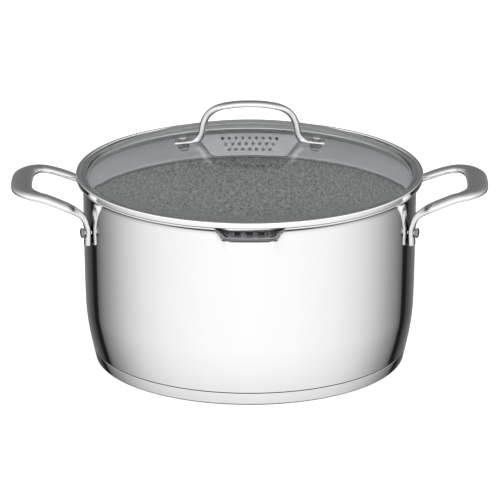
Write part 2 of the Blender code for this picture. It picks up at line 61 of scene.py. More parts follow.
# Clearances
GAP = 0.3 * MM
FINE_GAP = 0.2 * MM

# Pot
POT_H = high("pot_shell").z
FLOOR_Z = low("pot_shell").z
BASE_H = high("base_cup").z
CUP_R = high("base_cup").x
WALL_R = 141.7 * MM
WALL_T = 0.8 * MM
BELLY_Z = 56.0 * MM
BELLY_R = 140.5 * MM
BELLY_ROUND = 1.8  # above 1, the wall widens faster near its foot
UPPER_SHARE = 0.65  # how much of its way from the belly to the rim the wall has widened here:
UPPER_Z = 0.6 * POT_H
WAIST_R = CUP_R + 0.2 * MM
WAIST_Z = BASE_H + 0.9 * MM
BASE_R = 132.3 * MM
BASE_CORNER = 1.6 * MM
BASE_T = 0.7 * MM
FLARE_H = 6.3 * MM
FLARE_REACH = 4.5 * MM
BEAD_R = 0.8 * MM
COAT_TOP = 131.8 * MM
COAT_T = 0.12 * MM
COAT_OFF = 0.02 * MM  # how far the skin's back stands off the steel
LEDGE_H = 1.8 * MM
LEDGE_W = 0.45 * MM
LEDGE_TOP = COAT_TOP + LEDGE_H

# Pouring spouts
SPOUT_DEPTH = 12.6 * MM
SPOUT_REACH = 8.7 * MM
SPOUT_RISE = 6.4 * MM
SPOUT_HALF = 18.0 * MM
SPOUT_SIDE = 12.0 * MM
SPOUT_TAPER = 4.0 * MM
SPOUT_FOOT = POT_H - SPOUT_DEPTH
# Spout faces that stand out further than this get painted shade.
SPOUT_LEAN = 1.2 * MM  # the wall counts as spout where it stands out further than this

# Lid
RING_R = high("lid_ring").x
RING_TOP = high("lid_ring").z
SKIRT_Z = low("lid_ring").z
SEAT_Z = POT_H + GAP
RING_T = 0.6 * MM
GLASS_R = high("lid_glass").x
GLASS_Z = low("lid_glass").z
DOME_TOP = high("lid_glass").z
GLASS_T = 3.0 * MM
GLASS_RIM = 6.2 * MM
GLASS_EDGE_R = 1.2 * MM
LIP_W = 1.6 * MM
RING_BEND = 1.0 * MM
SKIRT_BEND = 0.6 * MM
SEAL_T = 1.3 * MM
STRAINER_T = 0.7 * MM
STRAINER_R = high("strainer_fine").y
STRAINER_LOW = low("strainer_fine").z
STRAINER_TOP = 48.0 * MM
STRAINER_FOOT = 33.0 * MM
STRAINER_CORNER = 8.0 * MM
STRAINER_LAP = 3.2 * MM
BORDER_INSET = 0.3 * MM
BORDER_DROP = 0.6 * MM
BORDER_STEP = 0.6 * MM  # how far the border is pressed in from the panel
PANEL_INSET = 4.4 * MM
PLATE_BEVEL = 0.12 * MM
PLATE_STRIPS = 48

# Side handles
GRIP_TOP = high("handle_right").z
GRIP_END = high("handle_right").x
LEG_FOOT_Z = low("handle_right").z
LEG_Y = 46.5 * MM
LEG_W = 9.4 * MM
LEG_T = 5.4 * MM
LEG_BACK = 3.2 * MM  # the strip's back is in the wall's shade as far out as this
GRIP_W = 18.0 * MM
GRIP_T = 5.2 * MM
LEG_TAPER = 16.0 * MM  # the way out over which the strip widens from leg to grip
LEG_ON_WALL = 12.0 * MM  # the strip's length that lies along the wall
LEG_TWIST = 24.0 * MM  # and the length over which it then turns to face its path
LEG_THICK = 20.0 * MM  # the strip's length that has the leg's thickness
LEG_THINNING = 22.0 * MM  # and the length over which it then comes to the grip's
SIDE_RIVET_Z = (low("rivet_right_rear").z + high("rivet_right_rear").z) / 2
SIDE_SHANK_R = 2.5 * MM
SIDE_HOLE_R = 2.8 * MM
SIDE_HEAD_R = 4.4 * MM
SIDE_HEAD_H = 2.9 * MM
SIDE_TAIL_H = 1.4 * MM

# Lid handle
FOOT_X = 56.2 * MM
FOOT_REACH = 7.3 * MM
FOOT_W = 15.0 * MM
FOOT_T = 2.6 * MM
ARCH_TOP = high("lid_handle").z
ARCH_W = 14.0 * MM
ARCH_T = 4.4 * MM
BAR_LEG_W = 9.0 * MM
BAR_LEG_T = 6.0 * MM
FOOT_TO_LEG = (6.5 * MM, 7.0 * MM)  # inwards from the foot's rivet: start, and length of the change
LEG_TO_ARCH = (17.0 * MM, 20.0 * MM)
GASKET_T = 0.9 * MM
GASKET_R = 5.2 * MM
WASHER_T = 1.0 * MM
WASHER_R = 5.0 * MM
LID_SHANK_R = 2.6 * MM
LID_HOLE_R = 2.9 * MM
GLASS_HOLE_R = 3.5 * MM
LID_HEAD_R = 4.3 * MM
LID_HEAD_H = 2.2 * MM
LID_TAIL_R = 4.0 * MM
LID_TAIL_H = 1.6 * MM

DOME_R = GLASS_R - GLASS_RIM
DOME_RISE = DOME_TOP - GLASS_Z - GLASS_T
DOME_ROUND = 0.55  # 1 for an even dome, less for one flatter on top and rounder at its edge
DOME_SHARE = 0.985  # of the dome's radius, up to where its foot blends into the flat rim
LEG_ANGLE = math.asin(LEG_Y / (WALL_R + GAP + LEG_T / 2))

# Facets round the pot and the lid, the glass, a rivet or a washer, and a hole
ROUND = 288
GLASS_ROUND = 192
SMALL_ROUND = 48
HOLE_ROUND = 32
ON_AXIS = 1e-6

# A bent strip's section is a superellipse, and its ends are softened
STRIP_POWER = 4.5
STRIP_CROWN = 0.36
STRIP_POINTS = 64
END_ROUND = 0.9 * MM
END_STEPS = 4

# Degrees between two faces that make a hard edge
SHARP = 35.0
SOFT_SHARP = 50.0
PLATE_SHARP = 30.0
GLASS_SHARP = 60.0


# --- shapes -----------------------------------------------------------------------


def mix(a, b, share):
    return a + (b - a) * share


def smooth_step(x):
    x = min(max(x, 0.0), 1.0)
    return x * x * (3 - 2 * x)


def ease(x, start, length):
    """0 up to the start, and 1 from a length past it."""
    return smooth_step((x - start) / length)


def arc(centre, radius, start_deg, end_deg, points):
    turns = [math.radians(mix(start_deg, end_deg, i / (points - 1))) for i in range(points)]
    return [(centre[0] + radius * math.cos(a), centre[1] + radius * math.sin(a)) for a in turns]


def offset(line, distance):
    """The polyline moved to its left, corners kept."""
    moved = []
    for i, (r, z) in enumerate(line):
        before = line[max(i - 1, 0)]
        after = line[min(i + 1, len(line) - 1)]
        first = Vector((r - before[0], z - before[1]))
        second = Vector((after[0] - r, after[1] - z))
        first = first.normalized() if first.length else second.normalized()
        second = second.normalized() if second.length else first
        along = (first + second).normalized()
        stretch = distance / max(along.dot(first), 0.5)
        moved.append((r - along.y * stretch, z + along.x * stretch))
    return moved


def spline(points, per_span):
    """A smooth curve through the 3D points (centripetal Catmull-Rom), with its ends."""
    points = [Vector(p) for p in points]
    chain = [points[0] * 2 - points[1], *points, points[-1] * 2 - points[-2]]
    curve = []
    for a, b, c, d in zip(chain, chain[1:], chain[2:], chain[3:]):
        t1 = (b - a).length ** 0.5
        t2 = t1 + (c - b).length ** 0.5
        t3 = t2 + (d - c).length ** 0.5
        for step in range(per_span):
            t = mix(t1, t2, step / per_span)
            ab = a * ((t1 - t) / t1) + b * (t / t1)
            bc = b * ((t2 - t) / (t2 - t1)) + c * ((t - t1) / (t2 - t1))
            cd = c * ((t3 - t) / (t3 - t2)) + d * ((t - t2) / (t3 - t2))
            abc = ab * ((t2 - t) / t2) + bc * (t / t2)
            bcd = bc * ((t3 - t) / (t3 - t1)) + cd * ((t - t1) / (t3 - t1))
            curve.append(abc * ((t2 - t) / (t2 - t1)) + bcd * ((t - t1) / (t2 - t1)))
    curve.append(points[-1])
    return curve


def smooth_line(marks, per_span):
    """The same for a profile of (radius, height) points."""
    return [(p.x, p.y) for p in spline([(r, z, 0.0) for r, z in marks], per_span)]


def finish_mesh(name, bm, sharp_deg=SHARP):
    bmesh.ops.recalc_face_normals(bm, faces=bm.faces)
    mesh = bpy.data.meshes.new(name)
    bm.to_mesh(mesh)
    bm.free()
    mesh.shade_smooth()
    mesh.set_sharp_from_angle(angle=math.radians(sharp_deg))
    obj = bpy.data.objects.new(name, mesh)
    bpy.context.scene.collection.objects.link(obj)
    return obj


def turned(name, profile, loop=False, steps=ROUND, sharp_deg=SHARP, looks=(0,)):
    """A profile of (radius, height) points turned about Z. Looks gives each band's material number."""
    bm = bmesh.new()
    rows = []
    for r, z in profile:
        if r < ON_AXIS:
            rows.append([bm.verts.new((0.0, 0.0, z))])
            continue
        turns = [2 * math.pi * i / steps for i in range(steps)]
        rows.append([bm.verts.new((r * math.cos(a), r * math.sin(a), z)) for a in turns])
    pairs = list(zip(rows, rows[1:]))
    if loop:
        pairs.append((rows[-1], rows[0]))
    for band, (one, two) in enumerate(pairs):
        for i in range(steps):
            j = (i + 1) % steps
            corners = [one[i % len(one)], one[j % len(one)], two[j % len(two)], two[i % len(two)]]
            face = bm.faces.new(dict.fromkeys(corners))
            face.material_index = looks[min(band, len(looks) - 1)]
    return finish_mesh(name, bm, sharp_deg)


def strip_section():
    """A superellipse as (across, through) shares, thinner towards its edges by the crown."""
    made = []
    for i in range(STRIP_POINTS):
        a = 2 * math.pi * (i + 0.5) / STRIP_POINTS
        c, s = math.cos(a), math.sin(a)
        u = math.copysign(abs(c) ** (2 / STRIP_POWER), c)
        v = math.copysign(abs(s) ** (2 / STRIP_POWER), s)
        made.append((u, v * (1 - STRIP_CROWN * u * u)))
    return made


def loft(name, stations):
    """Skins sections along a path, with rounded ends.

    A station is (centre, across, through, width, thickness).
    """
    stations = rounded_ends(stations)
    bm = bmesh.new()
    uv = bm.loops.layers.uv.new("along")
    rings = []
    outline = strip_section()
    travelled = [0.0]
    for one, two in zip(stations, stations[1:]):
        travelled.append(travelled[-1] + (two[0] - one[0]).length)
    for centre, across, through, width, thickness in stations:
        spots = [centre + across * (u * width / 2) + through * (v * thickness / 2) for u, v in outline]
        rings.append([bm.verts.new(spot) for spot in spots])
    for k, (one, two) in enumerate(zip(rings, rings[1:])):
        for i in range(STRIP_POINTS):
            j = (i + 1) % STRIP_POINTS
            face = bm.faces.new((one[i], one[j], two[j], two[i]))
            shares = ((i, k), (i + 1, k), (i + 1, k + 1), (i, k + 1))
            for corner, (turn, station) in zip(face.loops, shares):
                corner[uv].uv = (turn / STRIP_POINTS, travelled[station])
    bm.faces.new(rings[0][::-1])
    bm.faces.new(rings[-1])
    return finish_mesh(name, bm)


def rounded_ends(stations):
    """Adds shrinking sections at both ends, so that the cut ends have softened edges."""
    made = list(stations)
    for end in (0, -1):
        centre, across, through, width, thickness = stations[end]
        inward = (stations[1 if end == 0 else -2][0] - centre).normalized()
        cap = []
        for i in range(END_STEPS + 1):
            a = math.pi / 2 * i / END_STEPS
            back = END_ROUND * (1 - math.cos(a))
            shrink = 2 * END_ROUND * (1 - math.sin(a))
            cap.append((centre + inward * back, across, through, width - shrink, thickness - shrink))
        cap.sort(key=lambda s: (s[0] - centre).length)
        made = cap + made[1:] if end == 0 else made[:-1] + cap[::-1]
    return made


def facing(point, direction):
    """A matrix at the point with its Z along the direction."""
    turn = Vector(direction).to_track_quat("Z", "Y").to_matrix().to_4x4()
    return Matrix.Translation(point) @ turn


def half_turn(matrix):
    return Matrix.Rotation(math.pi, 4, "Z") @ matrix


def dome_point(x, above_glass):
    """A point on the XZ plane over the glass's upper side, and the dome's normal there."""
    share = (x / DOME_R) ** 2
    fall = DOME_RISE * (DOME_ROUND * share + (1 - DOME_ROUND) * share**2)
    slope = 2 * DOME_RISE * x / DOME_R**2 * (DOME_ROUND + 2 * (1 - DOME_ROUND) * share)
    normal = Vector((slope, 0.0, 1.0)).normalized()
    return Vector((x, 0.0, DOME_TOP - fall)) + normal * above_glass, normal


def evaluated_mesh(obj):
    """The object's mesh with its modifiers applied, or the mesh that a curve makes."""
    bpy.context.view_layer.update()
    graph = bpy.context.evaluated_depsgraph_get()
    return bpy.data.meshes.new_from_object(obj.evaluated_get(graph))


def cut(obj, cutter):
    """Takes the cutter's shape out of the object, and the cutter out of the scene."""
    modifier = obj.modifiers.new("cut", "BOOLEAN")
    modifier.object = cutter
    modifier.solver = "EXACT"
    mesh = evaluated_mesh(obj)
    obj.modifiers.clear()
    obj.data = mesh
    bpy.data.objects.remove(cutter)
    obj.data.set_sharp_from_angle(angle=math.radians(SHARP))


def rods(name, places, radius, length):
    """Round cutters, one along Z at each place."""
    bm = bmesh.new()
    ends = {"cap_ends": True, "radius1": radius, "radius2": radius}
    for where in places:
        bmesh.ops.create_cone(bm, segments=HOLE_ROUND, depth=length, matrix=where, **ends)
    return finish_mesh(name, bm)


# --- materials --------------------------------------------------------------------


MIX_FACTOR, MIX_ONE, MIX_TWO, MIX_RESULT = 0, 6, 7, 2  # a colour mix node's sockets


class Tree:
    """A node tree, with short ways to add nodes."""

    def __init__(self, owner):
        owner.use_nodes = True
        self.nodes = owner.node_tree.nodes
        self.links = owner.node_tree.links

    def add(self, kind, **values):
        """A node with its sockets set by name, and its own settings by attribute."""
        node = self.nodes.new(kind)
        for key, value in values.items():
            if key in node.inputs:
                node.inputs[key].default_value = value
            else:
                setattr(node, key, value)
        return node

    def feed(self, socket, value):
        """Joins an output to the socket, or sets the socket to a plain value."""
        if isinstance(value, bpy.types.NodeSocket):
            self.links.new(value, socket)
        else:
            socket.default_value = value

    def ramp(self, value, stops):
        """A ramp of (position, grey) stops."""
        node = self.add("ShaderNodeValToRGB")
        while len(node.color_ramp.elements) < len(stops):
            node.color_ramp.elements.new(1.0)
        for element, (position, grey) in zip(node.color_ramp.elements, stops):
            element.position = position
            element.color = (grey, grey, grey, 1.0)
        self.feed(node.inputs["Fac"], value)
        return node.outputs["Color"]

    def mix(self, factor, one, two, blend_type="MIX"):
        """Two colours mixed."""
        node = self.add("ShaderNodeMix", data_type="RGBA", blend_type=blend_type)
        self.feed(node.inputs[MIX_FACTOR], factor)
        self.feed(node.inputs[MIX_ONE], one)
        self.feed(node.inputs[MIX_TWO], two)
        return node.outputs[MIX_RESULT]

    def choose(self, ray, other, this, output):
        """Surfaces the output with one shader for rays of this kind, and another for the rest."""
        path = self.add("ShaderNodeLightPath")
        both = self.add("ShaderNodeMixShader")
        self.feed(both.inputs[0], path.outputs[ray])
        self.feed(both.inputs[1], other.outputs[0])
        self.feed(both.inputs[2], this.outputs[0])
        self.feed(output.inputs["Surface"], both.outputs[0])


class Look(Tree):
    """A material with a Principled shader."""

    def __init__(self, name, colour, roughness, metallic=0.0):
        self.material = bpy.data.materials.new(name)
        super().__init__(self.material)
        self.shader = self.nodes["Principled BSDF"]
        self.set("Base Color", (*colour, 1.0))
        self.set("Roughness", roughness)
        self.set("Metallic", metallic)

    def set(self, socket, value):
        self.feed(self.shader.inputs[socket], value)

    def place(self, source="Object", scale=(1, 1, 1)):
        """Object coordinates, or a named UV layer's, stretched."""
        if source == "Object":
            where = self.add("ShaderNodeTexCoord").outputs["Object"]
        else:
            where = self.add("ShaderNodeUVMap", uv_map=source).outputs["UV"]
        stretch = self.add("ShaderNodeMapping", Scale=scale)
        self.feed(stretch.inputs["Vector"], where)
        return stretch.outputs["Vector"]

    def noise(self, vector, scale, detail=3.0, roughness=0.55):
        node = self.add("ShaderNodeTexNoise", Scale=scale, Detail=detail, Roughness=roughness)
        self.feed(node.inputs["Vector"], vector)
        return node.outputs["Fac"]

    def grains(self, vector, scale, core, edge):
        """White dots that fade out from their core to their edge, as shares of their spacing."""
        node = self.add("ShaderNodeTexVoronoi", Scale=scale, Randomness=1.0)
        self.feed(node.inputs["Vector"], vector)
        return self.ramp(node.outputs["Distance"], [(core, 1.0), (edge, 0.0)])

    def bump(self, height, distance, strength):
        node = self.add("ShaderNodeBump", Distance=distance, Strength=strength)
        self.feed(node.inputs["Height"], height)
        self.set("Normal", node.outputs["Normal"])

    def vary_roughness(self, value, least, most):
        self.set("Roughness", self.ramp(value, [(0.3, least), (0.7, most)]))


def hazed_steel(name, colour, least, most):
    """Bare stainless with a faint haze, which varies its roughness between the two."""
    look = Look(name, colour, most, 1.0)
    look.vary_roughness(look.noise(look.place(), 22.0, 4.0), least, most)
    return look.material


def polished_steel():
    """Mirror-polished stainless."""
    return hazed_steel("polished_steel", (0.90, 0.90, 0.91), 0.035, 0.075)


def painted_shade_steel():
    """The same steel darkened as painted shade, where it faces other steel.

    It is in the spouts, round the rivets' heads, behind the handles' legs and on the ledge.
    """
    return hazed_steel("painted_shade_steel", (0.26, 0.26, 0.27), 0.10, 0.16)


def painted_trough_shade():
    """Steel darkened as deeper painted shade, on the inside of the spouts and the back of the fine
    strainer, which see mostly each other.
    """
    return hazed_steel("painted_trough_shade", (0.12, 0.12, 0.125), 0.26, 0.34)


def base_steel():
    """The base cup, a little duller than the wall."""
    return hazed_steel("base_steel", (0.76, 0.76, 0.77), 0.06, 0.11)


def satin_steel():
    """Fine satin finish, brushed along the strip."""
    look = Look("satin_steel", (0.78, 0.78, 0.79), 0.16, 1.0)
    lines = look.noise(look.place("along", (220.0, 60.0, 1.0)), 1.0)
    look.vary_roughness(lines, 0.13, 0.20)
    look.bump(lines, 0.012 * MM, 0.5)
    return look.material


def plate_steel():
    """Matt pressed sheet, on the strainers' inner sides."""
    look = Look("plate_steel", (0.96, 0.97, 0.99), 0.5, 0.05)
    grain = look.noise(look.place(scale=(1, 1, 12)), 160.0)
    look.vary_roughness(grain, 0.46, 0.56)
    look.bump(grain, 0.01 * MM, 0.5)
    return look.material


def inner_steel():
    """The inside wall above the coating, brushed round the pot."""
    look = Look("inner_steel", (0.84, 0.85, 0.87), 0.45, 0.55)
    lines = look.noise(look.place(scale=(1, 1, 40)), 60.0, 4.0)
    look.vary_roughness(lines, 0.40, 0.50)
    look.bump(lines, 0.01 * MM, 0.6)
    return look.material


def stone_coating():
    """Grey non-stick coating with a fine granite speckle of lighter and darker grains."""
    look = Look("stone_coating", (0.2, 0.2, 0.2), 0.5)
    where = look.place()
    cloud = look.noise(where, 420.0, 4.0, 0.7)
    base = look.ramp(cloud, [(0.34, 0.11), (0.50, 0.24), (0.66, 0.43)])
    light = look.grains(where, 420.0, 0.16, 0.26)
    dark = look.grains(where, 290.0, 0.14, 0.24)
    flecked = look.mix(light, base, (0.42, 0.42, 0.43, 1.0))
    look.set("Base Color", look.mix(dark, flecked, (0.035, 0.035, 0.036, 1.0)))
    look.bump(cloud, 0.05 * MM, 0.5)
    return look.material


def lid_glass_look():
    """Clear tempered glass that lets the light straight through to what is under it."""
    tint = (0.93, 0.95, 0.95)
    look = Look("lid_glass", tint, 0.0)
    look.set("Transmission Weight", 1.0)
    look.set("IOR", 1.32)
    look.vary_roughness(look.noise(look.place(), 14.0), 0.0, 0.02)
    clear = look.add("ShaderNodeBsdfTransparent", Color=(*tint, 1.0))
    look.choose("Is Shadow Ray", look.shader, clear, look.nodes["Material Output"])
    return look.material


def silicone(name, colour):
    look = Look(name, colour, 0.55)
    grain = look.noise(look.place(), 900.0, 2.0)
    look.vary_roughness(grain, 0.48, 0.62)
    look.bump(grain, 0.02 * MM, 0.4)
    return look.material


def aluminium():
    look = Look("rolled_aluminium", (0.80, 0.80, 0.81), 0.4, 1.0)
    rolled = look.noise(look.place(scale=(1, 30, 1)), 40.0)
    look.vary_roughness(rolled, 0.35, 0.48)
    return look.material


def dress(obj, *looks):
    """Gives the piece its materials in order. Clearing the list first would lose its faces' numbers."""
    slots = obj.data.materials
    for number, look in enumerate(looks):
        if number < len(slots):
            slots[number] = look
        else:
            slots.append(look)
    return obj


def hand_over(obj, body, slot, *nodes):
    """The piece rides on its body, and stands for its CAD nodes, if any. The slot is not used."""
    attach(obj, body)
    if nodes:
        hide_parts(*nodes)


# --- the pot ------------------------------------------------------------------------


def wall_outside():
    """The wall's outer side from the base up to the foot of the spouts."""
    marks = [(WAIST_R, WAIST_Z)]
    for share in (0.12, 0.27, 0.45, 0.7, 1.0):
        widening = 1 - (1 - share) ** BELLY_ROUND
        marks.append((mix(WAIST_R, BELLY_R, widening), mix(WAIST_Z, BELLY_Z, share)))
    marks += [(mix(BELLY_R, WALL_R, UPPER_SHARE), UPPER_Z), (WALL_R, SPOUT_FOOT)]
    return smooth_line(marks, 5)


def wall_radius(height):
    line = wall_outside()
    for (r0, z0), (r1, z1) in zip(line, line[1:]):
        if height <= z1:
            return mix(r0, r1, (height - z0) / (z1 - z0))
    return line[-1][0]


def flare():
    """The rest of the wall, with its rim turning outwards."""
    foot = POT_H - FLARE_H
    marks = [
        (WALL_R, SPOUT_FOOT),
        (WALL_R, foot - 3.0 * MM),
        (WALL_R + 0.1 * MM, foot),
        (WALL_R + 0.9 * MM, foot + 2.6 * MM),
        (WALL_R + 2.3 * MM, foot + 4.0 * MM),
        (WALL_R + FLARE_REACH - BEAD_R, foot + 4.7 * MM),
    ]
    return smooth_line(marks, 8)[1:]


def press_spouts(mesh):
    """Pushes the rim out and down into a pouring lip at the front and at the back."""
    for v in mesh.vertices:
        if v.co.z <= SPOUT_FOOT:
            continue
        rise = min((v.co.z - SPOUT_FOOT) / SPOUT_DEPTH, 1.0)
        radius = math.hypot(v.co.x, v.co.y)
        across = abs(radius * math.atan2(v.co.x, abs(v.co.y)))
        half = SPOUT_HALF - SPOUT_TAPER * (1 - rise)
        share = 1 - smooth_step((across - half) / SPOUT_SIDE)
        # The wall's own outward turn gives way to a quarter-round trough, level at its bottom
        turned_out = FLARE_REACH * smooth_step((v.co.z - (POT_H - FLARE_H)) / FLARE_H) ** 1.5
        bend = rise * math.pi / 2
        push = share * (SPOUT_REACH * math.sin(bend) - turned_out)
        scale = (radius + push) / radius
        v.co.x *= scale
        v.co.y *= scale
        v.co.z -= share * (rise * SPOUT_DEPTH - SPOUT_RISE * (1 - math.cos(bend)))


def ledge(inside):
    """Steps the inner side in below the coating's upper edge, with a small bevel facing up."""
    made = []
    for r, z in inside:
        if z < LEDGE_TOP:
            made.append((r - LEDGE_W, z))
            continue
        if made and made[-1][1] < LEDGE_TOP:
            base = r - LEDGE_W
            made += [(base, LEDGE_TOP - 0.9 * MM), (base + 0.1 * MM, LEDGE_TOP - 0.6 * MM)]
            made += [(r - 0.1 * MM, LEDGE_TOP + 0.1 * MM), (r, LEDGE_TOP + 0.3 * MM)]
        made.append((r, z))
    return made


def pot_profiles():
    """The outer side from the middle of the floor to the rim, and the inner side."""
    corner = [
        (BASE_R - 9.0 * MM, FLOOR_Z),
        (BASE_R - 2.2 * MM, FLOOR_Z + 1.2 * MM),
        (WAIST_R - 1.4 * MM, WAIST_Z - 0.8 * MM),
        (WAIST_R, WAIST_Z),
    ]
    floor_line = [(0.0, FLOOR_Z), (BASE_R - 12.0 * MM, FLOOR_Z)]
    outside = floor_line + smooth_line(corner, 4)[:-1] + wall_outside() + flare()
    inside = ledge(offset(outside, WALL_T))
    inside[0] = (0.0, FLOOR_Z + WALL_T)
    return outside, inside


def mark_spouts(mesh):
    """Gives the spouts' faces painted shade, and their brushed inner side, with the brushed wall just
    below them behind the strainers, the darker painted shade of the trough.
    """
    for face in mesh.polygons:
        at = face.center
        brushed = face.material_index == 1
        leans_out = math.hypot(at.x, at.y) > WALL_R + SPOUT_LEAN
        behind_plate = brushed and at.z > SPOUT_FOOT - 4 * MM
        if abs(at.x) < SPOUT_HALF + SPOUT_SIDE and (leans_out or behind_plate):
            face.material_index = 3 if brushed else 2


def pot_body(polished, brushed, painted_shade, deep_painted_shade):
    outside, inside = pot_profiles()
    edge = arc((WALL_R + FLARE_REACH, POT_H - BEAD_R), BEAD_R, 160, -130, 14)
    # The ledge's band gets painted shade, the rest of the inside the brushed look, and the rim and
    # outside the polished one.
    bevel_top = LEDGE_TOP + 0.35 * MM
    looks = [2 if COAT_TOP < z <= bevel_top else 1 for _, z in inside[1:]] + [0]
    profile = inside + edge + outside[::-1]
    body = turned("pot_body", profile, looks=looks, sharp_deg=SOFT_SHARP)
    press_spouts(body.data)
    mark_spouts(body.data)
    dress(body, polished, brushed, painted_shade, deep_painted_shade)
    holes = side_rivet_frames()
    holes += [half_turn(m) for m in holes]
    cut(body, rods("rivet_holes", holes, SIDE_HOLE_R, 12 * MM))
    hand_over(body, "pot", "polished_steel", "pot_shell")


def coating(look):
    """A thin skin over the floor and the wall, up to the ledge."""
    below = [(r, z) for r, z in pot_profiles()[1] if z < COAT_TOP]
    below.append((below[-1][0] + COAT_OFF, COAT_TOP))
    skin = offset(below, COAT_T)
    skin[0] = (0.0, below[0][1] + COAT_T)
    under = offset(below, COAT_OFF)
    under[0] = (0.0, below[0][1] + COAT_OFF)
    layer = turned("nonstick_coating", skin + under[::-1], sharp_deg=SOFT_SHARP)
    hand_over(dress(layer, look), "pot", "polished_steel")


def base_cup(look):
    foot = arc((BASE_R - BASE_CORNER, BASE_CORNER), BASE_CORNER, 0, -90, 12)
    lip = arc((CUP_R - BASE_T / 2, BASE_H - BASE_T / 2), BASE_T / 2, 180, 0, 7)
    outside = [*lip, *foot, (0.0, 0.0)]
    inside = offset([lip[-1], *foot, (0.0, 0.0)], -BASE_T)[1:]
    inside[-1] = (0.0, BASE_T)
    cup = dress(turned("base_cap", inside[::-1] + outside), look)
    hand_over(cup, "pot", "polished_steel", "base_cup")


# --- side handles -------------------------------------------------------------------


def side_rivet_frames():
    """For the right-hand handle: a matrix on the wall's outside at each rivet, Z outwards."""
    frames = []
    for side in (-1, 1):
        out = Vector((math.cos(LEG_ANGLE), side * math.sin(LEG_ANGLE), 0.0))
        point = out * wall_radius(SIDE_RIVET_Z) + Vector((0, 0, SIDE_RIVET_Z))
        frames.append(facing(point, out))
    return frames


def side_handle_line():
    leg_x = (WALL_R + GAP + LEG_T / 2) * math.cos(LEG_ANGLE)
    out = GRIP_END - GRIP_W / 2
    top = GRIP_TOP - GRIP_T / 2
    half = [
        (leg_x, -LEG_Y, LEG_FOOT_Z),
        (leg_x, -LEG_Y, top - 25.45 * MM),
        (leg_x + 3.6 * MM, -LEG_Y + 0.2 * MM, top - 16.45 * MM),
        (leg_x + 10.2 * MM, -LEG_Y + 1.3 * MM, top - 11.65 * MM),
        (leg_x + 34.6 * MM, -LEG_Y + 4.9 * MM, top - 2.15 * MM),
        (out - 11.0 * MM, -38.0 * MM, top - 0.3 * MM),
        (out - 2.6 * MM, -26.0 * MM, top),
        (out, 0.0, top),
    ]
    return half + [(x, -y, z) for x, y, z in half[-2::-1]]


def side_handle_stations():
    line = spline(side_handle_line(), 12)
    lengths = [0.0]
    for a, b in zip(line, line[1:]):
        lengths.append(lengths[-1] + (b - a).length)
    stations = []
    for i, point in enumerate(line):
        ahead = line[min(i + 1, len(line) - 1)] - line[max(i - 1, 0)]
        from_foot = min(lengths[i], lengths[-1] - lengths[i])
        side = -1 if point.y < 0 else 1
        # At the feet the strip's width runs along the wall, at the grip across its path
        along_wall = Vector((math.sin(LEG_ANGLE), -side * math.cos(LEG_ANGLE), 0))
        level = Vector((ahead.x, ahead.y, 0))
        flat = level.length < 0.2 * ahead.length
        inward = along_wall if flat else Vector((-level.y, level.x, 0)).normalized()
        turn = ease(from_foot, LEG_ON_WALL, LEG_TWIST)
        across = (along_wall * (1 - turn) + inward * turn).normalized()
        through = across.cross(ahead.normalized()).normalized()
        across = ahead.normalized().cross(through).normalized()
        width = mix(LEG_W, GRIP_W, ease(point.x - line[0].x, 2 * MM, LEG_TAPER))
        thickness = mix(LEG_T, GRIP_T, ease(from_foot, LEG_THICK, LEG_THINNING))
        stations.append((point, across, through, width, thickness))
    return stations


def rivet_profile(shank_r, head_r, head_h, under_head, above_tail, tail_r, tail_h):
    """A low-domed head with a soft edge, a shank, and a flattened tail head."""
    marks = [
        (0.0, under_head + head_h),
        (0.4 * head_r, under_head + 0.98 * head_h),
        (0.8 * head_r, under_head + 0.88 * head_h),
        (0.95 * head_r, under_head + 0.76 * head_h),
        (head_r, under_head + 0.6 * head_h),
        (0.96 * head_r, under_head + 0.4 * head_h),
    ]
    tail = arc((tail_r - 0.4 * tail_h, above_tail - 0.6 * tail_h), 0.4 * tail_h, 0, -90, 5)
    return [
        *smooth_line(marks, 4),
        (0.8 * head_r, under_head),
        (shank_r, under_head),
        (shank_r, above_tail),
        (tail_r, above_tail),
        *tail,
        (0.0, above_tail - tail_h),
    ]


# The sides of the rivets' heads get painted shade.
RIVET_LOOKS = (0,) * 10 + (1,) * 11 + (0,)  # top of the head, its side, and the rest


def rivet(name, profile, where, polished, painted_shade):
    made = turned(name, profile, steps=SMALL_ROUND, looks=RIVET_LOOKS)
    made.data.transform(where)
    return dress(made, polished, painted_shade)


def mark_leg_backs(mesh):
    """Gives the second look, painted shade, to the legs' faces that look at the wall close by."""
    for face in mesh.polygons:
        away = Vector((face.center.x, face.center.y, 0))
        by_wall = away.length < WALL_R + LEG_BACK
        face.material_index = int(by_wall and face.normal.dot(away.normalized()) < -0.3)


def side_handles(satin, polished, painted_shade):
    under_head = GAP + LEG_T + GAP
    above_tail = -WALL_T - 2 * GAP
    profile = rivet_profile(
        SIDE_SHANK_R, SIDE_HEAD_R, SIDE_HEAD_H, under_head, above_tail, SIDE_HEAD_R, SIDE_TAIL_H
    )
    frames = side_rivet_frames()
    for side in ("right", "left"):
        handle = loft(f"loop_handle_{side}", side_handle_stations())
        cut(handle, rods("holes", frames, SIDE_HOLE_R, 20 * MM))
        mark_leg_backs(handle.data)
        turn = Matrix.Rotation(math.pi if side == "left" else 0.0, 4, "Z")
        handle.data.transform(turn)
        dress(handle, satin, painted_shade)
        hand_over(handle, "pot", "satin_steel", f"handle_{side}")
        ends = ("front", "rear") if side == "right" else ("rear", "front")
        for end, where in zip(ends, frames):
            made = rivet(f"handle_rivet_{side}_{end}", profile, turn @ where, polished, painted_shade)
            hand_over(made, "pot", "polished_steel", f"rivet_{side}_{end}")


# --- the lid --------------------------------------------------------------------------


def thick_line(line, thickness):
    return offset(line, thickness / 2) + offset(line, -thickness / 2)[::-1]


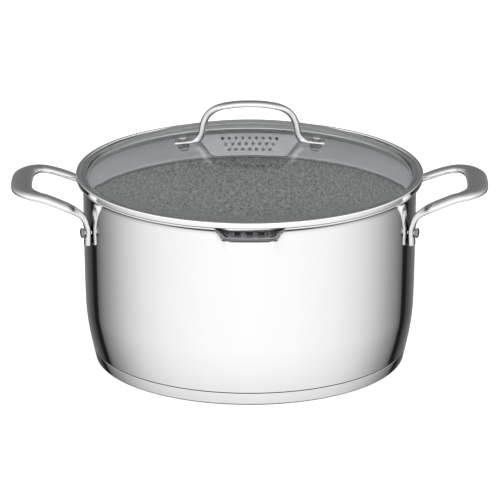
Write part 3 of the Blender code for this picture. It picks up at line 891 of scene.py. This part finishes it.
def lid_ring(look):
    half = RING_T / 2
    top = RING_TOP - half
    bottom = SEAT_Z + half
    out = RING_R - half
    skirt = STRAINER_R - STRAINER_T - GAP - half
    bend = SKIRT_BEND
    inner_lip = GLASS_R - LIP_W + half
    line = [
        (inner_lip, top - 0.3 * MM),
        (inner_lip + 0.35 * MM, top - 0.08 * MM),
        (inner_lip + 0.8 * MM, top),
        *arc((out - RING_BEND, top - RING_BEND), RING_BEND, 90, 0, 14),
        *arc((out - bend, bottom + bend), bend, 0, -90, 6),
        *arc((skirt + bend, bottom - bend), bend, 90, 180, 6),
        (skirt, SKIRT_Z),
    ]
    ring = dress(turned("lid_rim", thick_line(line, RING_T), loop=True), look)
    hand_over(ring, "lid", "polished_steel", "lid_ring")


def glass_seal(look):
    lowest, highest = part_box("glass_seal")
    edge = 0.35 * MM
    bevel = RING_BEND / 2
    inner, outer = highest.x - SEAL_T, highest.x
    profile = [
        (outer - bevel, highest.z),
        (outer, highest.z - bevel),
        *arc((outer - edge, lowest.z + edge), edge, 0, -90, 4),
        (inner, lowest.z),
        (inner, highest.z),
    ]
    seal = dress(turned("glass_edge_seal", profile, loop=True), look)
    hand_over(seal, "lid_seat", "silicone", "glass_seal")


def foot_frames():
    """A matrix on the glass's upper side at each foot of the lid handle, Z outwards."""
    return [facing(*dome_point(side * FOOT_X, 0.0)) for side in (-1, 1)]


def lid_glass(look):
    top = GLASS_Z + GLASS_T
    steps = 40
    radii = [DOME_SHARE * DOME_R * i / steps for i in range(steps + 1)]
    upper = [(p.x, p.z) for p, _ in (dome_point(r, 0.0) for r in radii)]
    under = [(p.x, p.z) for p, _ in (dome_point(r, -GLASS_T) for r in [*radii, DOME_R])]
    (r0, z0), (r1, z1) = under[-2:]
    under.append((r1 + (r1 - r0) * (z1 - GLASS_Z) / (z0 - z1), GLASS_Z))
    under.reverse()
    rim = [
        (DOME_R + 0.1 * MM, top + 0.35 * MM),
        (DOME_R + 1.2 * MM, top + 0.08 * MM),
        (DOME_R + 2.4 * MM, top),
    ]
    edge_r = GLASS_R - GLASS_EDGE_R
    edge = arc((edge_r, top - GLASS_EDGE_R), GLASS_EDGE_R, 90, 0, 7)
    edge += arc((edge_r, GLASS_Z + GLASS_EDGE_R), GLASS_EDGE_R, 0, -90, 7)
    glass = turned("glass_dome", upper + rim + edge + under, steps=GLASS_ROUND, sharp_deg=GLASS_SHARP)
    cut(glass, rods("glass_holes", foot_frames(), GLASS_HOLE_R, 4 * GLASS_T))
    dress(glass, look)
    hand_over(glass, "lid", "lid_glass", "lid_glass")


def strainer_outline(inset):
    """The plate's outline as (across, height), set in from its edge."""
    top = SKIRT_Z + STRAINER_LAP
    fall = SKIRT_Z - STRAINER_LOW
    run = STRAINER_TOP - STRAINER_FOOT
    lean = math.atan2(run, fall)
    radius = STRAINER_CORNER - min(inset, 3.0 * MM)
    foot_z = STRAINER_LOW + inset
    side_shift = inset / math.cos(lean)
    foot_x = STRAINER_FOOT + run * inset / fall - side_shift
    back = radius * math.tan((math.pi / 2 - lean) / 2)
    centre = (foot_x - back, foot_z + radius)
    corner = arc(centre, radius, -math.degrees(lean), -90, 12)
    side_top = STRAINER_TOP + run * (top - SKIRT_Z) / fall - side_shift
    half = [(side_top, top - (BORDER_DROP if inset else 0.0)), *corner]
    return half + [(-x, z) for x, z in half[::-1]]


def drawn_plate(name, outlines, thickness):
    """A flat plate with its holes, as a bmesh cut into narrow strips so that it can bend."""
    curve = bpy.data.curves.new(name, "CURVE")
    curve.dimensions = "2D"
    curve.fill_mode = "BOTH"
    curve.extrude = thickness / 2 - PLATE_BEVEL
    curve.bevel_depth = PLATE_BEVEL
    curve.bevel_resolution = 2
    curve.offset = -PLATE_BEVEL
    for outline in outlines:
        drawn = curve.splines.new("POLY")
        drawn.points.add(len(outline) - 1)
        for point, (x, z) in zip(drawn.points, outline):
            point.co = (x, z, 0.0, 1.0)
        drawn.use_cyclic_u = True
    source = bpy.data.objects.new(name, curve)
    bpy.context.scene.collection.objects.link(source)
    flat = evaluated_mesh(source)
    bpy.data.objects.remove(source)
    bm = bmesh.new()
    bm.from_mesh(flat)
    bmesh.ops.remove_doubles(bm, verts=bm.verts, dist=0.002 * MM)
    reach = STRAINER_TOP + 4 * MM
    for i in range(1, PLATE_STRIPS):
        x = mix(-reach, reach, i / PLATE_STRIPS)
        parts = bm.verts[:] + bm.edges[:] + bm.faces[:]
        bmesh.ops.bisect_plane(bm, geom=parts, plane_co=(x, 0, 0), plane_no=(1, 0, 0))
    return bm


def bend_plate(name, bm, radius, side, matt, outer):
    """Wraps the flat plate round the lid's axis, with one look inside and another outside."""
    for face in bm.faces:
        face.material_index = int(face.calc_center_median().z > -0.3 * STRAINER_T)
    for v in bm.verts:
        across, height, depth = v.co
        turn = across / radius
        out = radius + depth
        v.co = (out * math.sin(turn), side * out * math.cos(turn), height)
    return dress(finish_mesh(name, bm, PLATE_SHARP), matt, outer)


def strainer(node, side, hole_r, pitch, counts, drop, matt, outer):
    """A perforated plate, and the raised border pressed round its panel.

    Its rows of holes start the drop below the ring's skirt, with the counts from the top down.
    """
    middle = STRAINER_R - STRAINER_T / 2
    holes = []
    for row, count in enumerate(counts):
        height = SKIRT_Z - drop - row * pitch * math.sin(math.pi / 3)
        for i in range(count):
            centre = ((i - (count - 1) / 2) * pitch, height)
            holes.append(arc(centre, hole_r, 0, 345, 24))
    flat = drawn_plate("panel", [strainer_outline(0.0), *holes], STRAINER_T)
    plate = bend_plate(f"{node}_panel", flat, middle, side, matt, outer)
    hand_over(plate, "lid", "satin_steel", node)
    outlines = [strainer_outline(BORDER_INSET), strainer_outline(PANEL_INSET)]
    flat = drawn_plate("border", outlines, STRAINER_T)
    border = bend_plate(f"{node}_border", flat, middle - BORDER_STEP, side, matt, outer)
    hand_over(border, "lid", "satin_steel")


def lid_handle_stations():
    above = GAP + GASKET_T + FINE_GAP + FOOT_T / 2
    crown = ARCH_TOP - ARCH_T / 2
    foot = [dome_point(x, above)[0] for x in (FOOT_X + FOOT_REACH, FOOT_X, FOOT_X - 7.5 * MM)]
    rise = [
        (FOOT_X - 12.2 * MM, 0, foot[2].z + 1.0 * MM),
        (FOOT_X - 15.2 * MM, 0, foot[2].z + 5.4 * MM),
        (FOOT_X - 17.6 * MM, 0, crown - 15.6 * MM),
        (FOOT_X - 21.8 * MM, 0, crown - 8.4 * MM),
        (FOOT_X - 28.8 * MM, 0, crown - 3.7 * MM),
        (FOOT_X - 42.0 * MM, 0, crown - 0.7 * MM),
    ]
    half = [tuple(p) for p in foot] + rise
    line = spline([(-x, y, z) for x, y, z in half] + [(0, 0, crown)] + half[::-1], 10)
    stations = []
    for i, point in enumerate(line):
        ahead = line[min(i + 1, len(line) - 1)] - line[max(i - 1, 0)]
        across = Vector((0, 1, 0))
        through = ahead.normalized().cross(across)
        inside = FOOT_X - abs(point.x)
        leave_foot = ease(inside, *FOOT_TO_LEG)
        reach_arch = ease(inside, *LEG_TO_ARCH)
        width = mix(mix(FOOT_W, BAR_LEG_W, leave_foot), ARCH_W, reach_arch)
        thickness = mix(mix(FOOT_T, BAR_LEG_T, leave_foot), ARCH_T, reach_arch)
        stations.append((point, across, through, width, thickness))
    return stations


def disc(name, bottom, thickness, radius, soft, where):
    """A flat ring round the rivet, with rounded outer edges."""
    top = bottom + thickness
    profile = [
        (LID_HOLE_R, top),
        *arc((radius - soft, top - soft), soft, 90, 0, 4),
        *arc((radius - soft, bottom + soft), soft, 0, -90, 4),
        (LID_HOLE_R, bottom),
    ]
    made = turned(name, profile, loop=True, steps=SMALL_ROUND)
    made.data.transform(where)
    return made


def lid_handle(satin, polished, painted_shade, rubber):
    bar = loft("bar_handle", lid_handle_stations())
    cut(bar, rods("foot_holes", foot_frames(), LID_HOLE_R, 16 * MM))
    hand_over(dress(bar, satin), "lid", "satin_steel", "lid_handle")
    gasket_low = -GLASS_T - GAP - GASKET_T
    washer_low = gasket_low - FINE_GAP - WASHER_T
    above_tail = washer_low - FINE_GAP
    under_head = 2 * FINE_GAP + GASKET_T + GAP + FOOT_T
    profile = rivet_profile(
        LID_SHANK_R, LID_HEAD_R, LID_HEAD_H, under_head, above_tail, LID_TAIL_R, LID_TAIL_H
    )
    for side, where in zip(("left", "right"), foot_frames()):
        upper = disc(f"upper_gasket_{side}", FINE_GAP, GASKET_T, GASKET_R, 0.4 * MM, where)
        lower = disc(f"lower_gasket_{side}", gasket_low, GASKET_T, GASKET_R, 0.4 * MM, where)
        plate = disc(f"steel_washer_{side}", washer_low, WASHER_T, WASHER_R, 0.25 * MM, where)
        stud = rivet(f"handle_stud_{side}", profile, where, polished, painted_shade)
        hand_over(dress(upper, rubber), "lid", "silicone", f"gasket_upper_{side}")
        hand_over(dress(lower, rubber), "lid", "silicone", f"gasket_lower_{side}")
        hand_over(dress(plate, polished), "lid", "polished_steel", f"washer_{side}")
        hand_over(stud, "lid", "polished_steel", f"lid_rivet_{side}")


# --- stage ------------------------------------------------------------------------------

CAMERA_ELEVATION = math.radians(18.39)
CAMERA_DISTANCE = 3.91
CAMERA_TARGET = Vector((0.0003, 0.0, 0.0924))
CAMERA_LENS = 329.4

# The light tent's grey by degrees from the front, round the sides to the back
TENT_LOW = (
    (0, 1.0),
    (30, 0.97),
    (60, 0.89),
    (80, 0.76),
    (96, 0.59),
    (114, 0.34),
    (126, 0.20),
    (132, 0.11),
    (134.5, 0.012),
    (141, 0.012),
    (143, 0.04),
    (153, 0.10),
    (166, 0.20),
    (180, 0.26),
)
TENT_RAISED = (
    (0, 1.0),
    (60, 0.93),
    (96, 0.80),
    (120, 0.66),
    (140, 0.52),
    (158, 0.30),
    (172, 0.18),
    (180, 0.15),
)
# By height, from 0 straight down over 0.5 at the horizon to 1 straight up
RAISED_SHARE = ((0.51, 0.0), (0.57, 1.0))
HEIGHT_SHADE = ((0.0, 0.05), (0.12, 0.08), (0.18, 0.50), (0.22, 0.80), (0.30, 0.93), (0.40, 1.0))
CEILING_SHARE = ((0.63, 0.0), (0.73, 0.45), (0.83, 0.9), (0.90, 1.0))
CEILING = (1.3, 1.3, 1.3, 1.0)
WHITE = (1.0, 1.0, 1.0, 1.0)
TENT_STRENGTH = 1.12

FLOOR_R = 6.0
FLOOR_LOW = -0.2 * MM


def camera():
    data = bpy.data.cameras.new("camera")
    data.sensor_width = 36.0
    data.lens = CAMERA_LENS
    data.clip_end = 30.0
    obj = bpy.data.objects.new("camera", data)
    bpy.context.scene.collection.objects.link(obj)
    away = Vector((0.0, -math.cos(CAMERA_ELEVATION), math.sin(CAMERA_ELEVATION)))
    obj.location = CAMERA_TARGET + away * CAMERA_DISTANCE
    obj.rotation_euler = away.to_track_quat("Z", "Y").to_euler()
    bpy.context.scene.camera = obj


class Studio(Tree):
    """The world's node tree."""

    def maths(self, operation, *values):
        node = self.add("ShaderNodeMath", operation=operation)
        for socket, value in zip(node.inputs, values):
            self.feed(socket, value)
        return node.outputs[0]

    def around(self, turn, shades):
        """The grey at an angle from the front, from stops in degrees."""
        return self.ramp(turn, [(angle / 180, grey) for angle, grey in shades])


def studio():
    """A wrap-round light tent: white in front, greying to the sides, with a narrow dark gap."""
    world = bpy.data.worlds.new("studio")
    bpy.context.scene.world = world
    sky = Studio(world)
    sky.nodes.clear()
    direction = sky.add("ShaderNodeTexCoord")
    parts = sky.add("ShaderNodeSeparateXYZ")
    sky.feed(parts.inputs[0], direction.outputs["Generated"])
    x, y, z = parts.outputs
    # The turn is 0 in front and 1 straight behind, the height 0 below and 1 above
    angle = sky.maths("ARCTAN2", x, sky.maths("MULTIPLY", y, -1.0))
    turn = sky.maths("DIVIDE", sky.maths("ABSOLUTE", angle), math.pi)
    height = sky.maths("DIVIDE", sky.maths("ADD", sky.maths("ARCSINE", z), math.pi / 2), math.pi)
    low_part, raised_part = sky.around(turn, TENT_LOW), sky.around(turn, TENT_RAISED)
    around = sky.mix(sky.ramp(height, RAISED_SHARE), low_part, raised_part)
    tent = sky.mix(1.0, around, sky.ramp(height, HEIGHT_SHADE), "MULTIPLY")
    whole = sky.mix(sky.ramp(height, CEILING_SHARE), tent, CEILING)
    lit = sky.add("ShaderNodeBackground", Strength=TENT_STRENGTH)
    sky.feed(lit.inputs["Color"], whole)
    seen = sky.add("ShaderNodeBackground", Color=WHITE)
    sky.choose("Is Camera Ray", lit, seen, sky.add("ShaderNodeOutputWorld"))


def floor():
    """A pale floor. The steel mirrors the light tent in place of it."""
    look = Look("floor_white", (0.9, 0.9, 0.9), 0.9)
    look.set("Emission Color", WHITE)
    look.set("Emission Strength", 0.45)
    look.set("Specular IOR Level", 0.0)
    ground = dress(turned("floor", [(0.0, FLOOR_LOW), (FLOOR_R, FLOOR_LOW)], steps=96), look.material)
    ground.visible_glossy = False
    ground.visible_transmission = False


def main():
    bpy.context.scene.view_settings.view_transform = "Standard"
    camera()
    studio()
    floor()
    polished = polished_steel()
    painted_shade = painted_shade_steel()
    deep_painted_shade = painted_trough_shade()
    satin = satin_steel()
    plate = plate_steel()
    black_rubber = silicone("black_silicone", (0.09, 0.09, 0.09))
    grey_rubber = silicone("grey_silicone", (0.30, 0.31, 0.32))
    pot_body(polished, inner_steel(), painted_shade, deep_painted_shade)
    coating(stone_coating())
    base_cup(base_steel())
    side_handles(satin, polished, painted_shade)
    lid_ring(polished)
    glass_seal(black_rubber)
    lid_glass(lid_glass_look())
    coarse = {"side": -1, "hole_r": 2.5 * MM, "pitch": 9.8 * MM, "counts": (6, 5), "drop": 3.3 * MM}
    fine = {"side": 1, "hole_r": 1.5 * MM, "pitch": 6.0 * MM, "counts": (9, 8, 7), "drop": 5.3 * MM}
    strainer("strainer_coarse", matt=plate, outer=polished, **coarse)
    # The fine strainer's back gets the trough's painted shade.
    strainer("strainer_fine", matt=plate, outer=deep_painted_shade, **fine)
    lid_handle(satin, polished, painted_shade, grey_rubber)
    dress(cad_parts["base_core"], aluminium())


main()
